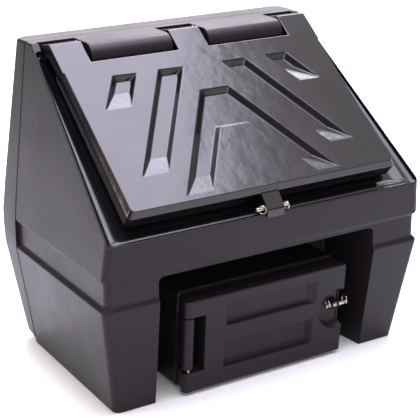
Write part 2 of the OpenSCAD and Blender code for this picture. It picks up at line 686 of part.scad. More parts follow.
module lid_latch_pin() color([0.78, 0.74, 0.62]) at_lid_latch() latch_pin(lid_pin_l, lid_turn);
module lid_latch_ring_left() color([0.8, 0.8, 0.8]) at_lid_latch() latch_ring(-lid_hole, lid_turn, lid_swing[0]);
module lid_latch_ring_right() color([0.8, 0.8, 0.8]) at_lid_latch() latch_ring(lid_hole, lid_turn, lid_swing[1]);
module hatch_latch_pin() color([0.78, 0.74, 0.62]) at_hatch_latch() latch_pin(hatch_pin_l, hatch_turn);
module hatch_latch_ring_left() color([0.8, 0.8, 0.8]) at_hatch_latch() latch_ring(-hatch_hole, hatch_turn, hatch_swing[0]);
module hatch_latch_ring_right() color([0.8, 0.8, 0.8]) at_hatch_latch() latch_ring(hatch_hole, hatch_turn, hatch_swing[1]);

// The hatch: a plate with two panels, a round latch dish with two ears, and two hinge barrels
module hatch_plate() {
    x0 = -hinge_x - 5;
    h = hatch_h / 2;
    mid = (hatch_w + x0) / 2;
    ring = function (in) [for (p = slab((hatch_w - x0) / 2 - in, -h + in, h - in, 5, 5)) [p[0] + mid, p[1]]];
    loft([leaned(ring(1.5), hatch_t), leaned(ring(0), hatch_t - 1.5), leaned(ring(0), 4), leaned(ring(1.2), 1.2),
        leaned(ring(4), 0)]);
}

// One panel, with a long draft at its right end
module panel(p) {
    loft([leaned([[p[0] + 7, p[2] + 5], [p[1] - p[4], p[2] + 5], [p[1] - p[4], p[3] - 7], [p[0] + 7, p[3] - 7]], panel_d),
        leaned([[p[0], p[2]], [p[1], p[2]], [p[1], p[3]], [p[0], p[3]]], -1)]);
}

// The round dish, or the room a skin round it takes
module dish(grow) {
    x = latch_x + 4;
    loft([leaned(round_ring(x, 1.5, grow > 0 ? dish_r + grow : dish_r - 14), dish_d + grow),
        leaned(round_ring(x, 1.5, dish_r + grow), 0), leaned(round_ring(x, 1.5, dish_r + grow), -2)]);
}

// The room between the hatch's skins, away from its panels, its dish, its hinge and the lug's way through
module hatch_room() {
    w = hatch_wall;
    h = hatch_h / 2 - w;
    difference() {
        lean_box([-hinge_x + clear_x + w, w, -h], [hatch_w - w, hatch_t - w, h]);
        for (p = panels) lean_box([p[0] - w, 0, p[2] - w], [p[1] + w, panel_d + w, p[3] + w]);
        dish(w);
        lean_box([latch_x - way_w - w, 0, latch_h - 18 - w], [latch_x + way_w + w, hatch_t, latch_h + 18 + w]);
    }
}

module ear(x0, x1) {
    r = pin_d / 2 + 4;
    bar_x(x0, x1, staple_y, staple_z, 2 * r);
    box([x0, staple_y, staple_z - r], [x1, hatch_y + dish_d + 1, staple_z + r]);
}

// The hinge rod's bore, a little longer than the rod
module hatch_bore() translate([-hinge_x, axis_y, hatch_mid - hinge_l - 1])
    cylinder(d = hinge_d + fit, h = 2 * hinge_l + 2, $fn = 48);

module hatch_door() color([0.14, 0.13, 0.15]) placed() difference() {
    union() {
        difference() {
            union() {
                hatch_plate();
                loft([barrel(-hatch_h / 2), barrel(hatch_h / 2)]);
            }
            for (p = panels) panel(p);
            hatch_room();
            dish(0);
            // The notch round the chute's knuckle
            box([-hinge_x - 40, 0, knuckle_low - 10], [-hinge_x + clear_x, recess_d, knuckle_top + 3]);
        }
        ear(latch_x - way_w - ear_w, latch_x - way_w);
        ear(latch_x + way_w, latch_x + way_w + ear_w);
    }
    // The way through for the staple
    box([latch_x - way_w, staple_y - 20, staple_z - 18], [latch_x + way_w, recess_d, staple_z + 18]);
    bar_x(latch_x - way_w - ear_w - 1, latch_x + way_w + ear_w + 1, staple_y, staple_z, pin_d + fit);
    hatch_bore();
}

module hatch_hinge_pin() color([0.75, 0.74, 0.7]) placed()
    translate([-hinge_x, axis_y, hatch_mid - hinge_l]) rotate([0, -90, 0]) rod(0, 2 * hinge_l, hinge_d);

bunker_body();
lid();
lid_hinge_pin_left();
lid_hinge_pin_right();
lid_hinge_ring_left();
lid_hinge_ring_right();
lid_latch_pin();
lid_latch_ring_left();
lid_latch_ring_right();
hatch_door();
hatch_hinge_pin();
hatch_latch_pin();
hatch_latch_ring_left();
hatch_latch_ring_right();
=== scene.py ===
"""Coal bunker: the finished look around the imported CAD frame.

The shell, the lid and the hatch are one-piece polyethylene mouldings. Each is a rounded copy of its
CAD solid, because a rotational moulding has no sharp edge anywhere. The rods, the latch pins and
the split rings are small steel parts with their own turned and wound shapes.
"""

import json
import logging
from dataclasses import dataclass, field
from enum import Enum
from math import cos, degrees, pi, radians, sin

import bmesh
import bpy
from mathutils import Matrix, Vector
from mathutils.geometry import intersect_point_line

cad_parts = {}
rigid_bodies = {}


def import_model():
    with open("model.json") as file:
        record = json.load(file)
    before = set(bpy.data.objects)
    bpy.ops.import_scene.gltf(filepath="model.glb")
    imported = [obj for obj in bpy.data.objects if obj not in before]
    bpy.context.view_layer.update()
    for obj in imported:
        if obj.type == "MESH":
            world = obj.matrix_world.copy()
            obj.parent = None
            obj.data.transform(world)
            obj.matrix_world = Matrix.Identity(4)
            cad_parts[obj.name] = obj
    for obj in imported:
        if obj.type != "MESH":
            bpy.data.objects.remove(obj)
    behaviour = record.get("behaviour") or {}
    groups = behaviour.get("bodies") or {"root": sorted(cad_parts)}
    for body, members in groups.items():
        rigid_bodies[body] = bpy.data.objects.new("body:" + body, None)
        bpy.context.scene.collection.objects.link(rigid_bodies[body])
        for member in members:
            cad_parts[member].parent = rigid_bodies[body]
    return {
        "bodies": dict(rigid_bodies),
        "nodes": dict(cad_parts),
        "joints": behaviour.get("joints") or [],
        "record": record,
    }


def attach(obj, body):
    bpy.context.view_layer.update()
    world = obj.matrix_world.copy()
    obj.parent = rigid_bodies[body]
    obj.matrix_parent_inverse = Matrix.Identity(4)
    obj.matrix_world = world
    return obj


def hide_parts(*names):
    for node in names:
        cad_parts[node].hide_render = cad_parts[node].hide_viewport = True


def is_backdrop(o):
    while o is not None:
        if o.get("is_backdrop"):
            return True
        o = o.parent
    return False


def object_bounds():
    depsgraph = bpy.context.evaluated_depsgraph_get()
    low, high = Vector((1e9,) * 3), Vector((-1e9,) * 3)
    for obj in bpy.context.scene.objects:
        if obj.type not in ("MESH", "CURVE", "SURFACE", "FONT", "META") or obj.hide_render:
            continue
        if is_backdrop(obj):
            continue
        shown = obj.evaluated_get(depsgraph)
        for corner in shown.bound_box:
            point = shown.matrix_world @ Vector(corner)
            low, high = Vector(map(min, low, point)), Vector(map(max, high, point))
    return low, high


LOG = logging.getLogger("coal_bunker")
MM = 0.001

Point = tuple[float, float, float]
Table = tuple[tuple[float, float], ...]


def linear(code: str) -> tuple[float, float, float, float]:
    """Turn an sRGB hex colour into linear RGBA.

    Args:
        code: Six hex digits, with or without a leading hash.

    Returns:
        The colour as four floats, alpha 1.
    """
    digits = code.lstrip("#")
    parts = [int(digits[i:i + 2], 16) / 255 for i in (0, 2, 4)]
    red, green, blue = [c / 12.92 if c <= 0.04045 else ((c + 0.055) / 1.055) ** 2.4 for c in parts]
    return (red, green, blue, 1.0)


def add_node(tree: bpy.types.NodeTree, kind: str, links: dict | None = None,
             **settings: object) -> bpy.types.Node:
    """Add one shader node with its settings and its incoming links.

    Args:
        tree: The node tree that gets the node.
        kind: The node's type name.
        links: Input name or index to the output socket that feeds it.
        **settings: Attributes, or inputs when the name ends with an underscore.

    Returns:
        The new node.
    """
    node = tree.nodes.new(kind)
    for key, value in settings.items():
        if key.endswith("_"):
            node.inputs[key[:-1].replace("_", " ")].default_value = value
        else:
            setattr(node, key, value)
    for key, socket in (links or {}).items():
        tree.links.new(socket, node.inputs[key])
    return node


@dataclass(frozen=True)
class BlackPolyethylene:
    """Rotationally moulded black polyethylene: satin, slightly wavy, never mirror sharp."""

    name: str
    colour: str = "#1c181c"
    ior: float = 1.51
    roughness: float = 0.36
    sheen_spread: float = 0.04
    gloss: float = 0.16
    ripple_mm: float = 26.0
    ripple_depth_mm: float = 1.2
    ripple_rise: float = 0.35
    grain_mm: float = 2.2
    grain_depth_mm: float = 0.12
    grain_rise: float = 0.25
    patch_mm: float = 1000 / 7

    def make(self) -> bpy.types.Material:
        """Build the material.

        Returns:
            The finished material.
        """
        material = bpy.data.materials.new(self.name)
        material.use_nodes = True
        tree = material.node_tree
        shader = tree.nodes["Principled BSDF"]
        shader.inputs["Base Color"].default_value = linear(self.colour)
        shader.inputs["IOR"].default_value = self.ior
        shader.inputs["Metallic"].default_value = 0.0
        shader.inputs["Specular IOR Level"].default_value = self.gloss
        place = add_node(tree, "ShaderNodeTexCoord").outputs["Object"]
        # Cooling leaves long shallow ripples in the wall, and the powder a faint orange peel.
        ripple = add_node(tree, "ShaderNodeTexNoise", {"Vector": place},
                          Scale_=1 / (self.ripple_mm * MM), Detail_=2.0, Roughness_=0.5)
        grain = add_node(tree, "ShaderNodeTexNoise", {"Vector": place},
                         Scale_=1 / (self.grain_mm * MM), Detail_=1.0, Roughness_=0.5)
        # The sheen changes a little over the surface where the resin fused sooner or later.
        patch = add_node(tree, "ShaderNodeTexNoise", {"Vector": place},
                         Scale_=1 / (self.patch_mm * MM), Detail_=3.0)
        sheen = add_node(tree, "ShaderNodeMapRange", {"Value": patch.outputs["Fac"]},
                         From_Min_=0.3, From_Max_=0.7,
                         To_Min_=self.roughness - self.sheen_spread,
                         To_Max_=self.roughness + self.sheen_spread)
        tree.links.new(sheen.outputs["Result"], shader.inputs["Roughness"])
        low = add_node(tree, "ShaderNodeBump", {"Height": ripple.outputs["Fac"]},
                       Strength_=self.ripple_rise, Distance_=self.ripple_depth_mm * MM)
        high = add_node(tree, "ShaderNodeBump",
                        {"Height": grain.outputs["Fac"], "Normal": low.outputs["Normal"]},
                        Strength_=self.grain_rise, Distance_=self.grain_depth_mm * MM)
        tree.links.new(high.outputs["Normal"], shader.inputs["Normal"])
        return material


class Plating(Enum):
    """What coats the steel: its bright colour, and its colour where it has dulled."""

    ZINC = ("#c4c2ba", "#8b887e")
    AGED_ZINC = ("#cfc8b9", "#918a7c")
    NICKEL = ("#dcdad4", "#a9a69c")


@dataclass(frozen=True)
class PlatedSteel:
    """Steel wire or bar with a thin plated coat: bright, with soft mottling where it has dulled."""

    name: str
    plating: Plating
    roughness: float = 0.28
    smoother: float = 0.06
    rougher: float = 0.1
    mottle_mm: float = 4.0

    def make(self) -> bpy.types.Material:
        """Build the material.

        Returns:
            The finished material.
        """
        bright, dull = self.plating.value
        material = bpy.data.materials.new(self.name)
        material.use_nodes = True
        tree = material.node_tree
        shader = tree.nodes["Principled BSDF"]
        shader.inputs["Metallic"].default_value = 1.0
        place = add_node(tree, "ShaderNodeTexCoord").outputs["Object"]
        # The coat dulls in patches a few millimetres wide, which are darker and a little rougher.
        mottle = add_node(tree, "ShaderNodeTexNoise", {"Vector": place},
                          Scale_=1 / (self.mottle_mm * MM), Detail_=3.0)
        tone = add_node(tree, "ShaderNodeMix", {"Factor": mottle.outputs["Fac"]}, data_type="RGBA")
        first, second = [socket for socket in tone.inputs if socket.type == "RGBA"]
        first.default_value = linear(bright)
        second.default_value = linear(dull)
        mixed = next(socket for socket in tone.outputs if socket.type == "RGBA")
        tree.links.new(mixed, shader.inputs["Base Color"])
        rough = add_node(tree, "ShaderNodeMapRange", {"Value": mottle.outputs["Fac"]},
                         From_Min_=0.3, From_Max_=0.7,
                         To_Min_=self.roughness - self.smoother,
                         To_Max_=self.roughness + self.rougher)
        tree.links.new(rough.outputs["Result"], shader.inputs["Roughness"])
        return material


@dataclass(frozen=True)
class StudioPaper:
    """Matt white background paper: it scatters light evenly and shows no sheen."""

    name: str = "studio paper, matt white"
    colour: str = "#f2f2f2"
    roughness: float = 0.9

    def make(self) -> bpy.types.Material:
        """Build the material.

        Returns:
            The finished material.
        """
        material = bpy.data.materials.new(self.name)
        material.use_nodes = True
        shader = material.node_tree.nodes["Principled BSDF"]
        shader.inputs["Base Color"].default_value = linear(self.colour)
        shader.inputs["Roughness"].default_value = self.roughness
        return material


def finish_mesh(mesh: bmesh.types.BMesh, name: str, smooth_deg: float) -> bpy.types.Object:
    """Turn a bmesh into a shown object with smooth shading under an angle.

    Args:
        mesh: The finished bmesh, which is freed.
        name: The object's name.
        smooth_deg: Edges sharper than this many degrees stay sharp.

    Returns:
        The new object at the origin.
    """
    data = bpy.data.meshes.new(name)
    mesh.to_mesh(data)
    mesh.free()
    data.polygons.foreach_set("use_smooth", [True] * len(data.polygons))
    data.set_sharp_from_angle(angle=radians(smooth_deg))
    item = bpy.data.objects.new(name, data)
    bpy.context.scene.collection.objects.link(item)
    return item


@dataclass
class Moulding:
    """A piece without sharp edges: a rounded copy of its CAD solid."""

    name: str
    node: str
    body: str
    slot: str
    finish: BlackPolyethylene | PlatedSteel
    # The radius of a plain edge, and in how many steps each radius is turned.
    edge_mm: float = 5.0
    turns: int = 3
    # An edge is rounded above the first angle and shades smoothly below the second.
    sharp_deg: float = 27.0
    smooth_deg: float = 40.0
    # Facets of the solid that turn less than this are one face.
    flat_deg: float = 0.6
    joined_mm: float = 0.01
    # A radius takes up to this share of the room beside its edge.
    share_of_room: float = 0.4
    stops: tuple[float, ...] = (0.0, 0.25, 0.5, 0.75, 1.0)
    # A second finish for the faces that prepare marks. The shell's gutter gets a darker one, which
    # is painted shade.
    gloss_and_painted_shade: BlackPolyethylene | None = None

    def prepare(self, work: bmesh.types.BMesh) -> None:
        """Change nothing: a plain moulding keeps its solid's surfaces."""

    def radius(self, edge: bmesh.types.BMEdge, turn: float) -> float:
        """Give the rounding of one edge.

        Args:
            edge: The edge.
            turn: The angle between its two faces in degrees.

        Returns:
            The wanted radius in millimetres, 0 for none.
        """
        return self.edge_mm if turn > self.sharp_deg else 0.0

    def open_rings(self, work: bmesh.types.BMesh) -> None:
        """Cut the copy down its middle, so that no flat lip becomes one face round a hole.

        Args:
            work: The copied solid, merged.
        """
        cut = bmesh.ops.bisect_plane(work, geom=[*work.verts, *work.edges, *work.faces],
                                     plane_co=(0.0, 0.0, 0.0), plane_no=(1.0, 0.0, 0.0),
                                     dist=self.joined_mm * MM)
        for piece in cut["geom_cut"]:
            if isinstance(piece, bmesh.types.BMEdge):
                piece.seam = True

    def room(self, edge: bmesh.types.BMEdge) -> float:
        """Measure how far an edge can be rounded before its faces run out.

        Args:
            edge: The edge.

        Returns:
            The way to the nearest other edge of its two faces, in millimetres.
        """
        start, end = edge.verts[0].co, edge.verts[1].co
        stops = [start.lerp(end, share) for share in self.stops]
        nearest = float("inf")
        for face in edge.link_faces:
            for other in face.edges:
                if other is edge:
                    continue
                if set(other.verts) & set(edge.verts):
                    nearest = min(nearest, other.calc_length())
                    continue
                first, last = other.verts[0].co, other.verts[1].co
                for stop in stops:
                    share = min(1.0, max(0.0, intersect_point_line(stop, first, last)[1]))
                    nearest = min(nearest, (first.lerp(last, share) - stop).length)
        return nearest / MM

    def round_edges(self, work: bmesh.types.BMesh) -> float:
        """Write each edge's rounding into the mesh as a share of the widest one.

        Args:
            work: The copied solid.

        Returns:
            The widest rounding in millimetres.
        """
        layer = work.edges.layers.float.new("bevel_weight_edge")
        wanted: dict[bmesh.types.BMEdge, float] = {}
        for edge in work.edges:
            if len(edge.link_faces) == 2:
                size = self.radius(edge, degrees(edge.calc_face_angle(0.0)))
                if size > 0.0:
                    wanted[edge] = min(size, self.room(edge) * self.share_of_room)
        widest = max(wanted.values())
        for edge, size in wanted.items():
            edge[layer] = size / widest
        return widest

    def build(self, frame: dict) -> None:
        """Copy the solid, round its edges and put it on its body.
        """
        work = bmesh.new()
        work.from_mesh(frame["nodes"][self.node].data)
        bmesh.ops.remove_doubles(work, verts=work.verts, dist=self.joined_mm * MM)
        self.prepare(work)
        self.open_rings(work)
        bmesh.ops.dissolve_limit(work, angle_limit=radians(self.flat_deg), verts=work.verts,
                                 edges=work.edges, delimit={"MATERIAL", "SEAM"})
        widest = self.round_edges(work)
        item = finish_mesh(work, self.name, self.smooth_deg)
        rounding = item.modifiers.new("mould radii", "BEVEL")
        rounding.limit_method = "WEIGHT"
        rounding.width = widest * MM
        rounding.segments = self.turns
        rounding.profile = 0.5
        rounding.use_clamp_overlap = False
        rounding.miter_outer = "MITER_SHARP"
        weights = item.modifiers.new("even sheen", "WEIGHTED_NORMAL")
        weights.keep_sharp = True
        item.data.materials.append(self.finish.make())
        # The second finish is the darker one that paints shade into the marked faces.
        if self.gloss_and_painted_shade is not None:
            item.data.materials.append(self.gloss_and_painted_shade.make())
        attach(item, self.body)
        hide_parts(self.node)
        LOG.info("%s: widest radius %.1f mm", self.name, widest)


def edge_middle(edge: bmesh.types.BMEdge) -> Vector:
    """Give the middle of an edge in millimetres."""
    return (edge.verts[0].co + edge.verts[1].co) / 2 / MM


def edge_course(edge: bmesh.types.BMEdge) -> Vector:
    """Give the direction of an edge as a unit vector."""
    return (edge.verts[1].co - edge.verts[0].co).normalized()


@dataclass(frozen=True)
class Slope:
    """The sloping plane of the hood's rim, in millimetres from the middle of its lower edge."""

    lean_deg: float = 37.4
    # The hood's front edge stands this far before the middle of the footprint.
    front_to_middle: float = 331.1956
    # The rim's lower edge from that front edge, and its height.
    rim_behind_front: float = -10.6
    rim_z: float = 497.5

    @property
    def rim_y(self) -> float:
        """Give the rim's lower edge from the middle of the footprint."""
        return self.rim_behind_front - self.front_to_middle

    @property
    def run(self) -> float:
        """Give the level part of a step up the slope."""
        return cos(radians(self.lean_deg))

    @property
    def climb(self) -> float:
        """Give the upright part of a step up the slope."""
        return sin(radians(self.lean_deg))

    def flat(self, point: Vector) -> Point:
        """Give a point's place on the slope.

        Args:
            point: A point in metres.

        Returns:
            How far right, up the slope and above it the point is, in millimetres.
        """
        y, z = point.y / MM - self.rim_y, point.z / MM - self.rim_z
        return point.x / MM, y * self.run + z * self.climb, z * self.run - y * self.climb

    def facing(self, direction: Vector) -> float:
        """Tell how much of a direction points away from the slope."""
        return direction.z * self.run - direction.y * self.climb

    def place(self, right: float, up: float, above: float) -> Vector:
        """Give the point at a place on the slope.

        Args:
            right: Millimetres to the right.
            up: Millimetres up the slope.
            above: Millimetres above it.

        Returns:
            The point in metres.
        """
        return Vector((right, self.rim_y + up * self.run - above * self.climb,
                       self.rim_z + up * self.climb + above * self.run)) * MM


def between(value: float, table: Table) -> float:
    """Read a table of pairs, straight between its rows.

    Args:
        value: The first value, inside the table's range.
        table: Rows of first and second value, rising.

    Returns:
        The second value.
    """
    for (low, start), (high, end) in zip(table, table[1:]):
        if value <= high:
            return start + (end - start) * max(0.0, value - low) / (high - low)
    return table[-1][1]


@dataclass
class ShellMoulding(Moulding):
    """The shell: its gutter falls from the rim to a shelf, and from there to the drain.

    All sizes are in millimetres.
    """

    slope: Slope = field(default_factory=Slope)
    wall: float = 5.0
    # The rim's outline on the slope, and the gutter's floor beside the lid.
    rim_front: float = 3.5
    rim_rear: float = 650.8
    rim_half_front: float = 491.7
    rim_half_rear: float = 441.0
    floor_half: float = 424.0
    # How far the cove runs in from the rim to the floor, up the slope.
    front_run: float = 38.1
    rear_run: float = -24.0
    # The outline's corner radius at the rim, and what it gains down to the floor.
    corner: float = 10.0
    corner_growth: float = 4.0
    gutter_depth: float = 25.0
    # How far off the cove a corner of the mesh may lie and still be one of the cove's.
    near: float = 1.2
    outline_slack: float = 1.0
    rim_skip: float = 0.3
    floor_skip: float = 0.05
    # The gutter's faces lie down to this share of its depth, and look up by at least this much.
    # These faces get the darker finish, which is painted shade.
    painted_shade_reach: float = 1.2
    painted_shade_facing: float = 0.05
    # The mouth of the recess between the feet has a wider radius.
    mouth_mm: float = 10.0
    mouth_half: float = 365.0
    mouth_top: float = 400.0
    mouth_rear: float = -300.0
    # Depth below the rim in the plain quarter-round cove, against its share of the way down.
    cove: Table = ((0.0, 0.0), (8.55, 0.0603), (16.07, 0.234), (21.65, 0.5), (24.62, 0.826),
                   (25.0, 1.0))
    # The same depth against the share and the depth of the real, shelved gutter.
    shelf_share: Table = ((0.0, 0.0), (8.55, 0.05), (16.07, 0.25), (21.65, 0.46), (24.62, 0.74),
                          (25.0, 1.0))
    shelf_depth: Table = ((0.0, 0.0), (8.55, 8.0), (16.07, 13.6), (21.65, 13.0), (24.62, 20.0),
                          (25.0, 25.0))

    def radius(self, edge: bmesh.types.BMEdge, turn: float) -> float:
        """Give the rounding of one edge of the shell, wider round the mouth of the front recess.

        Args:
            edge: The edge.
            turn: The angle between its two faces in degrees.

        Returns:
            The wanted radius in millimetres, 0 for none.
        """
        middle = edge_middle(edge)
        in_front = middle.y < self.mouth_rear and middle.z < self.mouth_top
        at_mouth = in_front and abs(middle.x) < self.mouth_half
        if at_mouth and edge.is_convex and turn > self.sharp_deg:
            return self.mouth_mm
        return super().radius(edge, turn)

    def on_cove(self, place: Point, grow: float) -> tuple[float, float] | None:
        """Tell whether a point lies on one skin of the gutter's cove.

        Args:
            place: The point on the slope.
            grow: How far the skin lies below the outer one.

        Returns:
            The way from the rim to the floor there, right and up the slope, or None off the cove.
        """
        right, up, above = place
        depth = -above - grow
        if not self.rim_skip < depth < self.gutter_depth - self.floor_skip:
            return None
        reach = grow + self.outline_slack
        if not self.rim_front - reach < up < self.rim_rear + reach:
            return None
        share = between(depth, self.cove)
        along = (up - self.rim_front) / (self.rim_rear - self.rim_front)
        rim = self.rim_half_front + (self.rim_half_rear - self.rim_half_front) * along
        half = rim + (self.floor_half - rim) * share + grow
        front = self.rim_front - grow + self.front_run * share
        rear = self.rim_rear + grow + self.rear_run * share
        side_gap, front_gap, rear_gap = half - abs(right), up - front, rear - up
        if min(side_gap, front_gap, rear_gap) < -self.near:
            return None
        radius = self.corner + self.corner_growth * share
        end_gap = min(front_gap, rear_gap)
        if side_gap < radius and end_gap < radius:
            off = abs(((radius - side_gap) ** 2 + (radius - end_gap) ** 2) ** 0.5 - radius)
        else:
            off = min(abs(side_gap), abs(end_gap))
        if off > self.near:
            return None
        inward = (self.floor_half - rim) * right / half
        return inward, self.front_run + (self.rear_run - self.front_run) * along

    def prepare(self, work: bmesh.types.BMesh) -> None:
        """Reshape the gutter's cove into its shelf, both skins alike, and mark its faces for the
        darker finish, which is painted shade.

        Args:
            work: The copied solid, merged.
        """
        moved = 0
        for vert in work.verts:
            place = self.slope.flat(vert.co)
            for grow in (0.0, self.wall):
                way = self.on_cove(place, grow)
                if way is None:
                    continue
                depth = -place[2] - grow
                step = between(depth, self.shelf_share) - between(depth, self.cove)
                vert.co = self.slope.place(place[0] + step * way[0], place[1] + step * way[1],
                                           -grow - between(depth, self.shelf_depth))
                moved += 1
                break
        # Upward faces inside the gutter get the darker second finish: painted shade.
        for face in work.faces:
            right, up, above = self.slope.flat(face.calc_center_median())
            inside = self.rim_front < up < self.rim_rear and abs(right) < self.rim_half_front
            deep = -self.painted_shade_reach * self.gutter_depth < above < -self.rim_skip
            if inside and deep and self.slope.facing(face.normal) > self.painted_shade_facing:
                face.material_index = 1
        LOG.info("gutter: %d corners moved", moved)


@dataclass
class LidMoulding(Moulding):
    """The lid: crisp creases where the recess ramps start and end, soft shoulders round them."""

    slope: Slope = field(default_factory=Slope)
    # Inside the field of recesses, edges that turn more than this are creased.
    crease_deg: float = 9.0
    crease_mm: float = 1.6
    field_half: float = 400.0
    shoulder_mm: float = 3.2
    # The recesses' corners stand off the slope by at least this much of their length.
    corner_mm: float = 6.5
    upright: float = 0.6
    # An edge of the underside faces away from the slope by less than this.
    underside: float = -0.3
    under_mm: float = 1.0

    def radius(self, edge: bmesh.types.BMEdge, turn: float) -> float:
        """Give the rounding of one edge of the lid, finer inside the field of recesses.

        Args:
            edge: The edge.
            turn: The angle between its two faces in degrees.

        Returns:
            The wanted radius in millimetres, 0 for none.
        """
        outward = edge.link_faces[0].normal + edge.link_faces[1].normal
        if self.slope.facing(outward) < self.underside:
            return self.under_mm if turn > self.crease_deg else 0.0
        in_field = abs(edge_middle(edge).x) < self.field_half
        if turn > self.sharp_deg:
            rising = abs(self.slope.facing(edge_course(edge))) > self.upright
            return self.corner_mm if rising and in_field else self.shoulder_mm
        return self.crease_mm if turn > self.crease_deg and in_field else 0.0


@dataclass
class HatchMoulding(Moulding):
    """The hatch: its lower corner on the hinge side is rounded off widely."""

    corner_mm: float = 18.0
    corner_right: float = -225.0
    corner_top: float = 60.0
    # The corner's edges run through the hatch, from its face to its back.
    through: float = 0.9

    def radius(self, edge: bmesh.types.BMEdge, turn: float) -> float:
        """Give the rounding of one edge of the hatch.

        Args:
            edge: The edge.
            turn: The angle between its two faces in degrees.

        Returns:
            The wanted radius in millimetres, 0 for none.
        """
        middle = edge_middle(edge)
        at_corner = middle.x < self.corner_right and middle.z < self.corner_top
        if at_corner and abs(edge_course(edge).y) > self.through and turn > self.sharp_deg:
            return self.corner_mm
        return super().radius(edge, turn)


@dataclass
class SplitRing:
    """A key-ring style split ring: spring wire in two flat turns that lie against each other."""

    name: str
    node: str
    body: str
    finish: PlatedSteel
    turns: float = 1.92
    # Two turns of wire fill the thickness of the solid ring.
    wire_share: float = 0.5
    steps_per_turn: int = 48
    wire_sides: int = 10
    smooth_deg: float = 40.0
    # The axis is found from a first guess that lies along no ring's plane, in this many rounds.
    guess: Point = (0.31, 0.57, 0.76)
    rounds: int = 40

    def seat(self, mesh: bpy.types.Mesh) -> tuple[Vector, Vector, float, float]:
        """Read where the solid ring lies.

        Args:
            mesh: The solid ring's mesh.

        Returns:
            Its middle, its axis, the radius of its wire's middle line and the wire's thickness,
            in metres.
        """
        points = [v.co for v in mesh.vertices]
        middle = sum(points, Vector()) / len(points)
        spread = Matrix(((0.0,) * 3,) * 3)
        for point in points:
            arm = point - middle
            spread += Matrix([[a * b for b in arm] for a in arm])
        # The points spread least along the axis, so this matrix stretches most along it.
        whole = sum(spread[i][i] for i in range(3))
        turned = Matrix.Identity(3) * whole - spread
        axis = Vector(self.guess)
        for _ in range(self.rounds):
            axis = (turned @ axis).normalized()
        reach = [((p - middle) - axis * (p - middle).dot(axis)).length for p in points]
        return middle, axis, (max(reach) + min(reach)) / 2, max(reach) - min(reach)

    def build(self, frame: dict) -> None:
        """Wind the ring in its solid's place.
        """
        middle, axis, radius, thick = self.seat(frame["nodes"][self.node].data)
        wire = thick * self.wire_share
        side = axis.orthogonal().normalized()
        ahead = axis.cross(side)
        start = middle + side * radius - axis * (wire * self.turns / 2)
        basis = Matrix((side, axis, ahead)).transposed().to_4x4()
        work = bmesh.new()
        cut = bmesh.ops.create_circle(work, cap_ends=False, segments=self.wire_sides,
                                      radius=wire / 2)
        bmesh.ops.transform(work, matrix=Matrix.Translation(start) @ basis, verts=cut["verts"])
        bmesh.ops.spin(work, geom=work.verts[:] + work.edges[:], cent=middle, axis=axis,
                       dvec=axis * (wire / self.steps_per_turn), angle=2 * pi * self.turns,
                       steps=round(self.turns * self.steps_per_turn), use_merge=False)
        ends = [e for e in work.edges if len(e.link_faces) == 1]
        bmesh.ops.holes_fill(work, edges=ends, sides=0)
        bmesh.ops.recalc_face_normals(work, faces=work.faces)
        item = finish_mesh(work, self.name, self.smooth_deg)
        item.data.materials.append(self.finish.make())
        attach(item, self.body)
        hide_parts(self.node)
        LOG.info("%s: wire %.1f mm", self.name, wire / MM)


@dataclass
class Hardware:
    """The steel rods, pins and split rings."""

    rods: tuple[str, ...] = ("lid_hinge_pin_left", "lid_hinge_pin_right", "hatch_hinge_pin")
    # Each pin and ring with the body that it moves with.
    pins: tuple[tuple[str, str], ...] = (("lid_latch_pin", "lid_pin"),
                                         ("hatch_latch_pin", "hatch_pin"))
    rings: tuple[tuple[str, str], ...] = (("lid_hinge_ring_left", "shell"),
                                          ("lid_hinge_ring_right", "shell"),
                                          ("lid_latch_ring_left", "lid_ring_left"),
                                          ("lid_latch_ring_right", "lid_ring_right"),
                                          ("hatch_latch_ring_left", "hatch_ring_left"),
                                          ("hatch_latch_ring_right", "hatch_ring_right"))
    rod_edge_mm: float = 0.8
    pin_edge_mm: float = 1.0
    edge_turns: int = 2
    wire_roughness: float = 0.2

    def build(self, frame: dict) -> None:
        """Turn the rods and pins with their chamfers and wind the rings.
        """
        for name in self.rods:
            finish = PlatedSteel("zinc plated steel rod, " + name, Plating.ZINC)
            Moulding("turned_" + name, name, "shell", "rod", finish, edge_mm=self.rod_edge_mm,
                     turns=self.edge_turns).build(frame)
        for name, body in self.pins:
            finish = PlatedSteel("zinc plated steel pin, dulled, " + name, Plating.AGED_ZINC)
            Moulding("turned_" + name, name, body, "pin", finish, edge_mm=self.pin_edge_mm,
                     turns=self.edge_turns).build(frame)
        for name, body in self.rings:
            finish = PlatedSteel("nickel plated spring wire, " + name, Plating.NICKEL,
                                 roughness=self.wire_roughness)
            SplitRing("wound_" + name, name, body, finish).build(frame)


@dataclass
class Mouldings:
    """The three mouldings with their finishes."""

    shell_finish: BlackPolyethylene = BlackPolyethylene("black polyethylene, moulded shell")
    # The gutter is glossier than the open walls. Its darker colour is painted shade, so it shows as
    # a crisp dark line.
    gutter_gloss_and_painted_shade: BlackPolyethylene = BlackPolyethylene(
        "black polyethylene, gutter, glossy with painted shade", colour="#0e0b0e", roughness=0.24, gloss=0.4)
    # The lid is the glossiest moulding, and its wide field shows longer and deeper ripples.
    lid_finish: BlackPolyethylene = BlackPolyethylene(
        "black polyethylene, moulded lid", colour="#0d070c", roughness=0.2, gloss=0.48,
        ripple_mm=42.0, ripple_rise=0.8)
    hatch_finish: BlackPolyethylene = BlackPolyethylene("black polyethylene, moulded hatch")
    # The hatch's skins are thin, so its edges are tighter than the shell's.
    hatch_edge_mm: float = 2.2

    def build(self, frame: dict) -> None:
        """Build the shell, the lid and the hatch.
        """
        ShellMoulding("moulded_shell", "bunker_body", "shell", "shell", self.shell_finish,
                      gloss_and_painted_shade=self.gutter_gloss_and_painted_shade).build(frame)
        LidMoulding("moulded_lid", "lid", "lid", "lid", self.lid_finish).build(frame)
        HatchMoulding("moulded_hatch", "hatch_door", "hatch", "hatch", self.hatch_finish,
                      edge_mm=self.hatch_edge_mm).build(frame)


